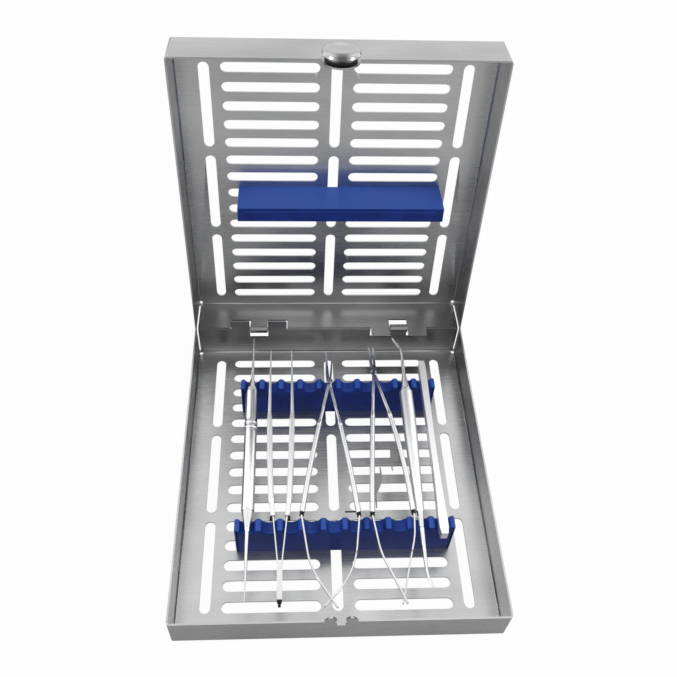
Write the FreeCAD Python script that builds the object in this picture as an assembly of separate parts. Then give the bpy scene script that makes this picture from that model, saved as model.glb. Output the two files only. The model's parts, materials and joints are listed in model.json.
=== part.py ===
import FreeCAD, Part
import os
from math import atan, atan2, cos, degrees, hypot, pi, radians, sin, sqrt, tan

# Instrument cassette: two slotted sheet trays hinged at the back, a quarter-turn latch at the
# front, three silicone bars and six hand instruments. Millimetres, +Z up, front towards -Y,
# origin at the middle of the underside. The lid stands open as at rest.

V = FreeCAD.Vector
X_AXIS = V(1, 0, 0)
Y_AXIS = V(0, 1, 0)
Z_AXIS = V(0, 0, 1)

# Trays
width = 185.0
depth = 200.0
tray_height = 26.0
sheet = 1.0
bend_radius = 2.0
open_angle = 96.0
stop_clearance = 0.02
body_clearance = 0.4

# The rims keep this far from the parting plane, so their outer corners meet when the lid is open
rim_gap = sheet / 2 * tan(radians(open_angle / 2)) + stop_clearance
rim_z = tray_height - rim_gap
hinge_y = depth / 2 - sheet / 2

# Drain slots
row_count = 15
rows_per_group = 5
row_pitch = 12.18
slot_width = 6.3
first_row = 11.9
slot_inner = 9.5
slot_outer = 66.0
side_line = 75.3
slot_end_sides = 6

# Rear corner seams
seam_width = 1.0
relief_radius = 1.3

# Interlocking hinge
hinge_offset = 48.6
lug_span = 38.4
lug_rise = 8.0
lug_corner = 1.5
window_width = 12.6
window_drop = 8.6
bar_height = 3.0
hook_clearance = 0.32
hook_sheet = 0.95
hook_inner = hypot(bar_height / 2, sheet / 2) + hook_clearance
hook_outer = hook_inner + hook_sheet
hook_width = window_width - 2 * body_clearance

# Latch
latch_drop = 2.5
head_radius = 9.4
pocket_radius = 3.5
throat_width = 4.9
mouth_width = 12.0
boss_radius = head_radius + body_clearance
boss_offset = 0.3
shaft_radius = 3.2
shaft_fit = 0.08
shaft_flat = throat_width - 2 * 0.25
flange_radius = 5.0
flange_thickness = 1.0
washer_radius = 8.8
washer_thickness = 2.0
knob_radius = 10.5
knob_neck = 1.2
knob_rim = 1.0
knob_dome = 1.9
knob_dish_radius = 6.2
knob_dish = 0.7
knob_sides = 32

# Silicone bars
bar_thickness = 7.8
pad_thickness = 9.6
bar_offset = 4.45
peak_count = 11
peak_pitch = 12.45
bar_end = 1.2
peak_height = 27.6
valley_depth = 4.6
pad_height = 23.4
pad_round = 1.4
rear_bar_row = 4
front_bar_row = 12
pad_row = 8
plug_clearance = 0.15
half_pitch = peak_pitch / 2
wave_angle = 2 * atan(valley_depth / half_pitch)
wave_radii = half_pitch / sin(wave_angle)
peak_radius = 2.1
valley_radius = wave_radii - peak_radius
peak_z = sheet + peak_height
valley_z = peak_z - valley_depth
seat_gap = 0.25

# Round instrument parts
taper_sides = 16
small_sides = 12

# The instruments' own origin
instrument_setback = 100.0

# Straight probe
probe_radius = 3.85
probe_length = 84.5
probe_point = 43.0
probe_cone = 9.0
probe_needle = 52.0
probe_back_y = 46.5

# Angled elevator
elevator_radius = 4.3
elevator_front_radius = 2.6
elevator_length = 84.0
elevator_back_y = 44.0

# Blade handle
blade_handle_back = 67.0
blade_handle_length = 121.5
blade_handle_half = 2.6
blade_handle_height = 6.6

# Tweezers
tweezer_tail_y = -69.0
tweezer_tail = 19.8
tweezer_leaf = 28.0
tweezer_grip_end = 24.0
tweezer_tip_y = 79.0
tweezer_gap = 13.8
tweezer_arm_width = 3.4
tweezer_arm_height = 5.6
leaf_height = 2.6
leaf_thickness = 0.7
leaf_root = 1.15
leaf_reach = 4.0
pivot_play = 0.3

# Spring-handled scissors and needle holder
lap_gap = 0.05
lap_thickness = 1.5
lap_length = 20.0
boss_half = 2.2
arm_radius = 1.6
neck_radius = 1.15
jaw_gap = 0.04
screw_radius = 0.9
pivot_fit = 0.08
head_gap = 0.06
plug_radius = 1.35
plug_length = 2.2
ribbon_height = 3.6
ribbon_thickness = 0.9
ribbon_bend = 45.0
ribbon_play = 0.2
cross_start = -64.0
catch_thickness = 0.8


def box(x0, x1, y0, y1, z0, z1):
    """A block between two corners."""
    return Part.makeBox(x1 - x0, y1 - y0, z1 - z0, V(x0, y0, z0))


def rod(radius, start, direction, length):
    """A cylinder from a point along a direction."""
    return Part.makeCylinder(radius, length, start, direction)


def fused(shapes):
    """One solid from several that overlap."""
    whole = shapes[0].multiFuse(shapes[1:])
    return whole.removeSplitter()


def disc_y(radius, x, z, y0, y1):
    """A disc that faces along Y."""
    return rod(radius, V(x, y0, z), Y_AXIS, y1 - y0)


def slot(x, y, length, across, z0, z1):
    """A round-ended slot cutter, along Y when across is true."""
    radius = slot_width / 2
    half = length / 2 - radius
    corners = []
    for end in (1, -1):
        for i in range(slot_end_sides + 1):
            angle = pi * (i / slot_end_sides - 0.5)
            along = end * (half + radius * cos(angle))
            aside = end * radius * sin(angle)
            corners.append(V(x - aside, y + along, z0) if across else V(x + along, y + aside, z0))
    return Part.Face(Part.makePolygon(corners + corners[:1])).extrude(V(0, 0, z1 - z0))


def row_y(row):
    """Centre line of a slot row, the first one beside the hinge."""
    return depth / 2 - first_row - (row - 1) * row_pitch


def slot_cutters():
    """All drain slots of one tray floor."""
    cutters = []
    length = slot_outer - slot_inner
    centre = (slot_outer + slot_inner) / 2
    for row in range(1, row_count + 1):
        for side in (-1, 1):
            cutters.append(slot(side * centre, row_y(row), length, False, -1, sheet + 1))
    group_length = (rows_per_group - 1) * row_pitch + slot_width
    for first in range(1, row_count + 1, rows_per_group):
        middle = (row_y(first) + row_y(first + rows_per_group - 1)) / 2
        for x in (-side_line, 0, side_line):
            cutters.append(slot(x, middle, group_length, True, -1, sheet + 1))
    return cutters


def rounded_block(x, y0, y1, z0, z1, radius):
    """A block with round bottom edges and round front corners, mitred where they meet."""
    block = box(-x, x, y0, y1, z0, z1)
    runs = {"across": [], "along": [], "upright": []}
    for edge in block.Edges:
        a, b = edge.Vertexes[0].Point, edge.Vertexes[1].Point
        if abs(a.z - b.z) > 1e-6:
            if abs(a.y - y0) < 1e-6:
                runs["upright"].append(edge)
        elif abs(a.z - z0) < 1e-6:
            runs["across" if abs(a.x - b.x) > 1e-6 else "along"].append(edge)
    whole = block
    for edges in runs.values():
        whole = whole.common(block.makeFillet(radius, edges))
    return whole


def folded_sheet():
    """The folded tray without its slots."""
    half_w = width / 2
    half_d = depth / 2
    outer = rounded_block(half_w, -half_d, half_d, 0, rim_z, bend_radius)
    inner = rounded_block(half_w - sheet, -half_d + sheet, half_d - sheet, sheet, rim_z + 5,
                          bend_radius - sheet)
    return outer.cut(inner)


def seam_cutters():
    """Open seams and relief holes at the two rear corners."""
    cutters = []
    x1 = width / 2 - sheet
    y1 = depth / 2
    for side in (-1, 1):
        near, far = sorted((side * (x1 - seam_width), side * x1))
        cutters.append(box(near, far, y1 - sheet - 0.01, y1 + 1, bend_radius, tray_height + 1))
        centre = V(side * (x1 - relief_radius), y1 - sheet - relief_radius, -1)
        cutters.append(rod(relief_radius, centre, Z_AXIS, sheet + 2))
    return cutters


def lugs(centre):
    """Two upstanding lugs joined by the hinge bar."""
    half = lug_span / 2
    y0, y1 = depth / 2 - sheet, depth / 2
    top = tray_height + lug_rise
    plate = box(centre - half, centre + half, y0, y1, rim_z - 1, top)
    corners = [e for e in plate.Edges if abs(e.Vertexes[0].Z - top) < 1e-6
               and abs(e.Vertexes[1].Z - top) < 1e-6 and abs(e.Vertexes[0].X - e.Vertexes[1].X) < 1e-6]
    return plate.makeFillet(lug_corner, corners)


def lug_window(centre):
    """The opening between the lugs."""
    half = window_width / 2
    y1 = depth / 2
    return box(centre - half, centre + half, y1 - sheet - 1, y1 + 1,
               tray_height - window_drop, tray_height + lug_rise + 1)


def hinge_bar(centre):
    """The bar between the lugs that the other tray's hook turns on."""
    half = window_width / 2 + 1
    return box(centre - half, centre + half, depth / 2 - sheet, depth / 2,
               tray_height - bar_height / 2, tray_height + bar_height / 2)


def hook_notch(centre):
    """Room in the wall for the other tray's lugs."""
    half = lug_span / 2 + body_clearance
    return box(centre - half, centre + half, depth / 2 - sheet - 1, depth / 2 + 1,
               tray_height - lug_rise - body_clearance, tray_height + 1)


def hook_section():
    """The curled hook's section, as a face across X."""
    def at(radius, angle):
        return V(0, hinge_y + radius * cos(radians(angle)), tray_height + radius * sin(radians(angle)))
    start, middle, end = -80, 67, 214
    outer = Part.Arc(at(hook_outer, start), at(hook_outer, middle), at(hook_outer, end)).toShape()
    inner = Part.Arc(at(hook_inner, end), at(hook_inner, middle), at(hook_inner, start)).toShape()
    tip = Part.makeLine(at(hook_outer, end), at(hook_inner, end))
    root = Part.makeLine(at(hook_inner, start), at(hook_outer, start))
    return Part.Face(Part.Wire([outer, tip, inner, root]))


def hook(centre):
    """A tongue of the wall curled round the other tray's bar."""
    half = hook_width / 2
    curl = hook_section().extrude(V(hook_width, 0, 0))
    curl.translate(V(centre - half, 0, 0))
    reach = (hook_inner + hook_outer) / 2
    tongue = box(centre - half, centre + half, depth / 2 - sheet, depth / 2,
                 tray_height - lug_rise - 1, tray_height - reach)
    return [tongue, curl]


def tray():
    """One stamping, the same for the base and the lid but for the front."""
    sheet_body = folded_sheet().fuse(lugs(-hinge_offset))
    cutters = slot_cutters() + seam_cutters() + [lug_window(-hinge_offset), hook_notch(hinge_offset)]
    sheet_body = sheet_body.cut(Part.makeCompound(cutters))
    return fused([sheet_body, hinge_bar(-hinge_offset)] + hook(hinge_offset))


def latch_z():
    """Height of the latch axis."""
    return tray_height - latch_drop


def keyhole_head():
    """The round head on the base's front wall."""
    front = -depth / 2
    return disc_y(head_radius, 0, latch_z(), front, front + sheet)


def keyhole():
    """Pocket, throat and flared mouth that take the latch shaft."""
    front = -depth / 2
    z = latch_z()
    top = z + head_radius + 1
    throat_z = z + pocket_radius + 1.2
    half, mouth = throat_width / 2, mouth_width / 2
    profile = [V(-half, front - 1, z), V(half, front - 1, z), V(half, front - 1, throat_z),
               V(mouth, front - 1, top), V(-mouth, front - 1, top), V(-half, front - 1, throat_z),
               V(-half, front - 1, z)]
    throat = Part.Face(Part.makePolygon(profile)).extrude(V(0, sheet + 2, 0))
    return throat.fuse(disc_y(pocket_radius, 0, z, front - 1, front + sheet + 1))


def base_shell():
    """The lower tray with the keyhole for the latch."""
    return tray().fuse(keyhole_head()).cut(keyhole()).removeSplitter()


def flipped(shape):
    """Turns a tray over the parting plane, front staying in front."""
    copy = shape.copy()
    copy.rotate(V(0, 0, tray_height), Y_AXIS, 180)
    return copy


def opened(shape):
    """Swings a lid piece from closed to the rest angle."""
    copy = shape.copy()
    copy.rotate(V(0, hinge_y, tray_height), X_AXIS, -open_angle)
    return copy


def lid_boss():
    """The pressed round boss that carries the latch outside the base's wall."""
    front = -depth / 2
    z = latch_z()
    plate_y = front - boss_offset - sheet
    lid_rim = tray_height + rim_gap
    plate = disc_y(boss_radius + sheet / 2, 0, z, plate_y, plate_y + sheet)
    ring = disc_y(boss_radius + sheet, 0, z, plate_y, front + sheet)
    ring = ring.cut(disc_y(boss_radius, 0, z, plate_y + sheet, front + sheet + 1))
    reach = boss_radius + sheet + 1
    above = box(-reach, reach, plate_y - 1, front + sheet + 1, lid_rim, z + reach)
    return plate.fuse(ring.common(above))


def lid_shell():
    """The upper tray with the latch boss, in its open place."""
    front = -depth / 2
    z = latch_z()
    shell = flipped(tray())
    shell = shell.cut(disc_y(boss_radius, 0, z, front - 1, front + sheet + 1))
    shell = shell.fuse(lid_boss())
    bore = disc_y(shaft_radius + shaft_fit, 0, z, front - boss_offset - sheet - 1, front + sheet + 1)
    return opened(shell.cut(bore).removeSplitter())


def latch_shaft():
    """Shaft with two flats in the wall's plane and a round flange inside."""
    front = -depth / 2
    z = latch_z()
    outer_y = front - boss_offset - sheet - washer_thickness - knob_neck
    boss_y = front - boss_offset
    flange_y = front + sheet + body_clearance
    shaft = disc_y(shaft_radius, 0, z, outer_y, flange_y + 0.2)
    for side in (-1, 1):
        near, far = sorted((side * shaft_flat / 2, side * (shaft_radius + 1)))
        shaft = shaft.cut(box(near, far, boss_y, flange_y, z - shaft_radius, z + shaft_radius))
    flange = disc_y(flange_radius, 0, z, flange_y, flange_y + flange_thickness)
    return opened(fused([shaft, flange]))


def latch_washer():
    """Spacer between the boss and the knob."""
    z = latch_z()
    boss_y = -depth / 2 - boss_offset - sheet
    ring = disc_y(washer_radius, 0, z, boss_y - washer_thickness, boss_y - stop_clearance)
    return opened(ring.cut(disc_y(shaft_radius + shaft_fit, 0, z, boss_y - 5, boss_y + 1)))


def ring(centre, radius, turn=0.0, sides=taper_sides):
    """Corners of a many-sided ring that faces along a plan direction, turn degrees from -Y."""
    aside = V(cos(radians(turn)), sin(radians(turn)), 0)
    step = 2 * pi / sides
    return [centre + aside * (radius * cos((i + 0.5) * step)) + Z_AXIS * (radius * sin((i + 0.5) * step))
            for i in range(sides)]


def flat_pieces(a, b, c, d):
    """One four-sided outline, or two triangles where the corners don't lie in a plane."""
    normal = (b - a).cross(c - a)
    if abs(normal.dot(d - a)) < 1e-6:
        return [[a, b, c, d]]
    return [[a, b, c], [a, c, d]]


def lofted(rings):
    """A solid with flat sides through rings of equal count."""
    outlines = [rings[0], rings[-1]]
    for low, high in zip(rings, rings[1:]):
        for i in range(len(low)):
            j = (i + 1) % len(low)
            outlines += flat_pieces(low[i], low[j], high[j], high[i])
    shell = Part.makeShell([Part.Face(Part.makePolygon(points + points[:1])) for points in outlines])
    shell.sewShape()
    solid = Part.makeSolid(shell)
    if solid.Volume < 0:
        solid.reverse()
    return solid


def latch_knob():
    """Round knob with a flared neck, a thin rim, a dome and a shallow dish."""
    z = latch_z()
    base_y = -depth / 2 - boss_offset - sheet - washer_thickness
    neck_y = base_y - knob_neck
    rim_y = neck_y - knob_rim
    dome_y = rim_y - knob_dome
    profile = [(washer_radius, base_y), (knob_radius, neck_y), (knob_radius, rim_y),
               (knob_radius * 0.93, rim_y - knob_dome * 0.45),
               (knob_radius * 0.8, rim_y - knob_dome * 0.82),
               (knob_dish_radius, dome_y), (knob_dish_radius * 0.8, dome_y + knob_dish * 0.6),
               (knob_dish_radius * 0.45, dome_y + knob_dish)]
    knob = lofted([ring(V(0, y, z), radius, 0.0, knob_sides) for radius, y in profile])
    socket = disc_y(shaft_radius + shaft_fit, 0, z, neck_y, base_y + 1)
    return opened(knob.cut(socket))


def plugs(row, x0, x1, z0, z1):
    """Ribs of a silicone bar that press into its row of slots."""
    ribs = []
    half = slot_width / 2 - plug_clearance
    for side in (-1, 1):
        near, far = sorted((side * slot_inner, side * slot_outer))
        near = max(near + half, x0)
        far = min(far - half, x1)
        ribs.append(box(near, far, row_y(row) - half, row_y(row) + half, z0, z1))
    return ribs


def peak_x(index):
    """Centre of a peak on a silicone bar."""
    return bar_offset + (index - (peak_count - 1) / 2) * peak_pitch


def valley_x(index):
    """Centre of the valley behind a peak of the same index."""
    return peak_x(index) + half_pitch


def wave_edges():
    """Top line of a bar, from its left peak to its right one, as tangent arcs."""
    edges = []
    side_x = peak_radius * sin(wave_angle)
    side_z = peak_z - peak_radius * (1 - cos(wave_angle))
    for index in range(peak_count - 1):
        x = peak_x(index)
        crest = V(x + peak_radius * sin(wave_angle / 2), 0,
                  peak_z - peak_radius * (1 - cos(wave_angle / 2)))
        down = V(x + side_x, 0, side_z)
        up = V(x + peak_pitch - side_x, 0, side_z)
        edges.append(Part.Arc(V(x, 0, peak_z), crest, down).toShape())
        edges.append(Part.Arc(down, V(x + half_pitch, 0, valley_z), up).toShape())
        crest = V(x + peak_pitch - (crest.x - x), 0, crest.z)
        edges.append(Part.Arc(up, crest, V(x + peak_pitch, 0, peak_z)).toShape())
    return edges


def wave_bar(row):
    """A scalloped silicone rest standing on the base floor."""
    x0, x1 = peak_x(0), peak_x(peak_count - 1)
    edges = wave_edges()
    edges += [Part.Arc(V(x1, 0, peak_z), V(x1 + bar_end * sin(pi / 4), 0,
                                           peak_z - bar_end * (1 - cos(pi / 4))),
                       V(x1 + bar_end, 0, peak_z - bar_end)).toShape(),
              Part.makeLine(V(x1 + bar_end, 0, peak_z - bar_end), V(x1 + bar_end, 0, sheet)),
              Part.makeLine(V(x1 + bar_end, 0, sheet), V(x0 - bar_end, 0, sheet)),
              Part.makeLine(V(x0 - bar_end, 0, sheet), V(x0 - bar_end, 0, peak_z - bar_end)),
              Part.Arc(V(x0 - bar_end, 0, peak_z - bar_end),
                       V(x0 - bar_end * sin(pi / 4), 0, peak_z - bar_end * (1 - cos(pi / 4))),
                       V(x0, 0, peak_z)).toShape()]
    bar = Part.Face(Part.Wire(edges)).extrude(V(0, bar_thickness, 0))
    bar.translate(V(0, row_y(row) - bar_thickness / 2, 0))
    return fused([bar] + plugs(row, x0 - bar_end, x1 + bar_end, 0, sheet + 0.5))


def lid_pad():
    """The plain silicone bar in the lid that holds the instruments down."""
    x0, x1 = peak_x(0) - bar_end, peak_x(peak_count - 1) + bar_end
    top = 2 * tray_height - sheet
    y = row_y(pad_row)
    bar = box(x0, x1, y - pad_thickness / 2, y + pad_thickness / 2, top - pad_height, top)
    low = [e for e in bar.Edges if all(abs(v.Z - top + pad_height) < 1e-6 for v in e.Vertexes)]
    bar = bar.makeFillet(pad_round, low)
    return opened(fused([bar] + plugs(pad_row, x0, x1, top - 0.5, top + sheet)))


def tapered(x, z, sections):
    """A straight tapered piece along -Y through (y, radius) sections."""
    return lofted([ring(V(x, y, z), radius) for y, radius in sections])


def bent(sections, sides=taper_sides):
    """A tapered piece through (point, radius, turn) sections."""
    return lofted([ring(point, radius, turn, sides) for point, radius, turn in sections])


def peg(radius, start, direction, length):
    """A small pin with a few sides."""
    corners = [V(radius * cos(2 * pi * i / small_sides), radius * sin(2 * pi * i / small_sides), 0)
               for i in range(small_sides)]
    pin = Part.Face(Part.makePolygon(corners + corners[:1])).extrude(V(0, 0, length))
    pin.Placement = FreeCAD.Placement(start, FreeCAD.Rotation(Z_AXIS, direction))
    return pin


def probe_parts():
    """Handle with a collar, long rear point, and front cone with a needle."""
    x = valley_x(0)
    z = valley_z + probe_radius + seat_gap
    y0, y1 = probe_back_y, probe_back_y - probe_length
    collar_y = y0 - 27.0
    ridge = probe_radius + 0.35
    handle = rod(probe_radius, V(x, y0, z), V(0, -1, 0), probe_length)
    collar = tapered(x, z, [(collar_y + 1.4, probe_radius - 0.1), (collar_y + 0.7, ridge),
                            (collar_y - 0.7, ridge),
                            (collar_y - 1.4, probe_radius - 0.1)])
    rear = tapered(x, z, [(y0 + probe_point, 0.3), (y0 + probe_cone, 1.2), (y0, probe_radius - 0.1)])
    front = tapered(x, z, [(y1, probe_radius - 0.1), (y1 - probe_cone - 2.5, 1.4),
                           (y1 - probe_cone - 19.0, 0.95),
                           (y1 - probe_needle, 0.3)])
    return {"probe_handle": fused([handle, collar]), "probe_rear_point": rear, "probe_front_point": front}


def elevator_parts():
    """Tapered handle with a bent paddle behind and a bent blade in front."""
    x = valley_x(8)
    z = valley_z + elevator_radius + seat_gap
    y0, y1 = elevator_back_y, elevator_back_y - elevator_length
    neck = elevator_front_radius * 0.62
    handle = tapered(x, z, [(y0 + 0.8, elevator_radius - 0.6), (y0, elevator_radius),
                            (y0 - 28.0, elevator_radius),
                            (y1, elevator_front_radius)])
    rear = bent([(V(x, y0 + 0.8, z), elevator_radius - 0.7, 0), (V(x, y0 + 15.0, z), 1.15, 0),
                 (V(x + 0.2, y0 + 33.0, z), 1.0, 0), (V(x - 0.5, y0 + 35.6, z), 0.95, 24),
                 (V(x - 5.2, y0 + 44.5, z), 0.6, 30)])
    front = bent([(V(x, y1, z), elevator_front_radius - 0.1, 0), (V(x, y1 - 8.0, z), neck, 0),
                  (V(x, y1 - 10.0, z), neck, 0), (V(x, y1 - 35.0, z), 0.9, 3),
                  (V(x + 0.5, y1 - 38.5, z), 0.85, 16),
                  (V(x + 2.9, y1 - 44.0, z), 0.4, 22)])
    return {"elevator_handle": handle, "elevator_rear_tip": rear, "elevator_front_tip": front}


def blade_handle_parts():
    """Flat handle standing on edge, waisted, with a long finger groove in each side."""
    x = valley_x(9)
    half = blade_handle_height / 2
    rise = valley_radius - sqrt(valley_radius ** 2 - blade_handle_half ** 2)
    z = valley_z + rise + half + seat_gap
    y0, y1 = blade_handle_back, blade_handle_back - blade_handle_length
    waist = blade_handle_half * 0.66
    right = [(1.6, y0), (2.1, y0 - 4), (2.1, y0 - 20), (waist, y0 - 52), (waist, y0 - 78), (2.1, y0 - 99),
             (blade_handle_half, y0 - 110), (blade_handle_half, y1 + 4), (blade_handle_half - 0.7, y1)]
    left = [(-a, b) for a, b in reversed(right)]
    outline = [V(x + a, b, z - half) for a, b in right + left + right[:1]]
    handle = Part.Face(Part.makePolygon(outline)).extrude(V(0, 0, blade_handle_height))
    for side in (-1, 1):
        handle = handle.cut(rod(0.8, V(x + side * (waist + 0.35), y0 - 80, z), Y_AXIS, 30))
    return {"blade_handle": handle}


def bent_ribbon(start, knee, end, radius, z0, z1):
    """A springy ribbon: two straight runs joined by a bend, standing on edge."""
    first, second = (knee - start).normalize(), (end - knee).normalize()
    turn = first.getAngle(second)
    reach = radius * tan(turn / 2)
    side = 1 if first.x * second.y - first.y * second.x > 0 else -1
    centre = knee - first * reach + V(-first.y, first.x, 0) * (side * radius)
    bisector = (knee - centre).normalize()
    inner, outer = radius - ribbon_thickness / 2, radius + ribbon_thickness / 2

    def beside(point, direction, offset):
        return point + V(direction.y, -direction.x, 0) * (side * offset)

    edges, corners = [], []
    for bend, offset in ((inner, -ribbon_thickness / 2), (outer, ribbon_thickness / 2)):
        a, d = beside(start, first, offset), beside(end, second, offset)
        b, c = beside(knee - first * reach, first, offset), beside(knee + second * reach, second, offset)
        edges += [Part.makeLine(a, b), Part.Arc(b, centre + bisector * bend, c).toShape(),
                  Part.makeLine(c, d)]
        corners.append((a, d))
    edges += [Part.makeLine(corners[0][0], corners[1][0]), Part.makeLine(corners[0][1], corners[1][1])]
    shape = Part.Face(Part.Wire(Part.__sortEdges__(edges))).extrude(V(0, 0, z1 - z0))
    shape.translate(V(0, 0, z0))
    return shape


def wave_height(offset):
    """Height of a rest's top line at a sideways distance from a peak."""
    if offset <= peak_radius * sin(wave_angle):
        return peak_z - peak_radius + sqrt(peak_radius ** 2 - offset ** 2)
    aside = half_pitch - offset
    return valley_z + valley_radius - sqrt(valley_radius ** 2 - aside ** 2)


def leaf_spread(y):
    """Sideways distance of a tweezer leaf's middle from the tool's own line."""
    share = (y - tweezer_tail_y) / tweezer_leaf
    return leaf_root + (leaf_reach - leaf_root) * share


def tweezer_z():
    """Height of the tweezers, whose two leaves straddle a peak of the front rest."""
    front_y = row_y(front_bar_row) - bar_thickness / 2 - depth / 2 + instrument_setback
    return wave_height(leaf_spread(front_y) - leaf_thickness) + seat_gap + leaf_height / 2


def tweezer_leaf_spring(side, x, z):
    """A thin leaf from the tail to the arm."""
    root = V(x + side * leaf_root, tweezer_tail_y, 0)
    run = V(x + side * leaf_reach, tweezer_tail_y + tweezer_leaf, 0) - root
    leaf = box(-leaf_thickness / 2, leaf_thickness / 2, 0, run.Length, z - leaf_height / 2,
               z + leaf_height / 2)
    leaf.rotate(V(0, 0, 0), Z_AXIS, -side * degrees(atan2(abs(run.x), run.y)))
    leaf.translate(root)
    return leaf.cut(box(x - 10, x + 10, tweezer_tail_y - 1, tweezer_tail_y, z - 5, z + 5))


def tweezer_arm(side, x, z):
    """One tweezer arm: deep grip and fine point."""
    start = V(x + side * (leaf_reach + 0.1), tweezer_tail_y + tweezer_leaf + pivot_play, 0)
    grip_start = start + V(side * 1.2, 10.0, 0)
    grip_end = V(x + side * (leaf_reach + 3.0), tweezer_grip_end, 0)
    tip = V(x + side * tweezer_gap / 2, tweezer_tip_y, 0)
    half_w, half_h, chamfer = tweezer_arm_width / 2, tweezer_arm_height / 2, 0.8
    section = [(-half_w, -half_h + chamfer), (-half_w + chamfer, -half_h), (half_w - chamfer, -half_h),
               (half_w, -half_h + chamfer), (half_w, half_h - chamfer), (half_w - chamfer, half_h),
               (-half_w + chamfer, half_h), (-half_w, half_h - chamfer)]

    def outline(centre, scale, tall):
        return [V(centre.x + a * scale, centre.y, z + b * tall) for a, b in section]

    return lofted([outline(start, 0.75, 0.55), outline(start + V(side * 0.9, 7.5, 0), 0.75, 0.6),
                   outline(grip_start, 1, 1), outline((grip_start + grip_end) / 2 + V(side * 0.35, 0, 0),
                                                      1, 1),
                   outline(grip_end, 0.95, 0.8), outline(grip_end + V(side * 0.2, 6, 0), 0.6, 0.38),
                   outline(tip, 0.18, 0.12)])


def tweezer_parts():
    """Tail strip with a dark pin, two leaves with dark end plugs, and two arms."""
    x, z = peak_x(2), tweezer_z()
    end_y = tweezer_tail_y - tweezer_tail
    half = leaf_root + leaf_thickness / 2
    parts = {"tweezer_tail": box(x - half, x + half, end_y, tweezer_tail_y, z - leaf_height / 2,
                                 z + leaf_height / 2),
             "tweezer_pin": fused([peg(1.3, V(x, end_y, z), V(0, -1, 0), 1.6),
                                   peg(0.8, V(x, end_y, z), V(0, -1, 0), 3.6)])}
    for name, side in (("left", -1), ("right", 1)):
        parts["tweezer_leaf_" + name] = tweezer_leaf_spring(side, x, z)
        parts["tweezer_arm_" + name] = tweezer_arm(side, x, z)
        near, far = sorted((side * (leaf_reach + leaf_thickness / 2),
                            side * (leaf_reach + leaf_thickness / 2 + 1.6)))
        y = tweezer_tail_y + tweezer_leaf
        parts["tweezer_plug_" + name] = box(x + near, x + far, y - 2.2, y - 0.1, z - 1.1, z + 1.1)
    return parts


def flat_jaw(side, half, jaw):
    """Section of a fine jaw that is half a scissor thick, with its edge on the arm's own line."""
    return [V(-side * 0.3, 0, 0), V(side * half, 0, 0), V(side * half, jaw * 0.3, 0),
            V(side * 0.35, jaw, 0), V(-side * 0.1, jaw, 0), V(-side * 0.3, jaw * 0.5, 0)]


def blunt_jaw(side, half, jaw):
    """Section of a blunt jaw that meets its twin in a plane."""
    return [V(side * jaw_gap, boss_half + 0.35, 0), V(side * half, boss_half + 0.35, 0),
            V(side * half, jaw * 0.55, 0), V(side * (half - 0.6), jaw, 0), V(side * jaw_gap, jaw, 0)]


def prism(corners, z0, z1):
    """An upright block on a section."""
    face = Part.Face(Part.makePolygon(corners + corners[:1]))
    face.translate(V(0, 0, z0))
    return face.extrude(V(0, 0, z1 - z0))


def lap_arm(tool, side, level):
    """An arm with its pivot at the origin: jaw forward, lapped boss, bowed round handle to -Y."""
    angle, reach = tool["angles"][side], tool["reach"]
    jaw, half, bow = tool["jaw"], tool["jaw_half"][side], -level * tool["bow"][side]
    z0, z1 = sorted((level * lap_gap, level * lap_thickness))
    if tool["blunt"]:
        root = [V(-level * 1.0, 0, 0), V(level * half, 0, 0), V(level * half, boss_half + 1.5, 0),
                V(level * jaw_gap, boss_half + 1.5, 0), V(level * jaw_gap, boss_half - 0.2, 0),
                V(-level * 1.0, boss_half - 0.9, 0)]
        blade = fused([prism(root, z0, z1), prism(blunt_jaw(level, half, jaw), -lap_thickness,
                                                  lap_thickness)])
    else:
        blade = prism(flat_jaw(level, half, jaw), *sorted((level * lap_gap, level * lap_thickness * 0.7)))
    blade.rotate(V(0, 0, 0), Z_AXIS, sum(tool["angles"].values()) / 2 - angle - level * tool["opening"])
    boss = rod(boss_half, V(0, 0, z0), Z_AXIS, z1 - z0)
    shank = prism([V(-0.9, 0, 0), V(0.9, 0, 0), V(bow * 0.5 + 0.9, -lap_length, 0),
                   V(bow * 0.5 - 0.9, -lap_length, 0)], z0, z1)
    end = -reach + plug_length
    handle = bent([(V(bow * 0.45, 1 - lap_length, 0), neck_radius, 0),
                   (V(bow * 0.8, -reach * 0.3, 0), neck_radius, 0),
                   (V(bow * 0.88, -reach * 0.34, 0), arm_radius, 0),
                   (V(bow, -reach * 0.52, 0), arm_radius, 0),
                   (V(bow * 0.72, -reach * 0.76, 0), arm_radius, 0), (V(0, end, 0), arm_radius, 0)],
                   small_sides)
    bore = rod(screw_radius + pivot_fit, V(0, 0, -3), Z_AXIS, 6)
    return fused([blade, boss, shank, handle]).cut(bore)


def placed(shape, pivot, angle):
    """Turns an arm about its pivot and moves it there."""
    copy = shape.copy()
    copy.rotate(V(0, 0, 0), Z_AXIS, angle)
    copy.translate(pivot)
    return copy


def pivot_screw(pivot):
    """Screw that two lapped arms turn on."""
    reach = lap_thickness + head_gap
    shank = rod(screw_radius, pivot - V(0, 0, reach), Z_AXIS, 2 * reach)
    head = peg(1.7, pivot + V(0, 0, reach), Z_AXIS, 0.6)
    tail = peg(1.3, pivot - V(0, 0, reach + 0.25), Z_AXIS, 0.25)
    return fused([shank, head, tail])


def arm_point(pivot, angle, reach):
    """A point at a distance along an arm's own line."""
    return pivot + V(sin(radians(angle)) * reach, -cos(radians(angle)) * reach, 0)


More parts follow.
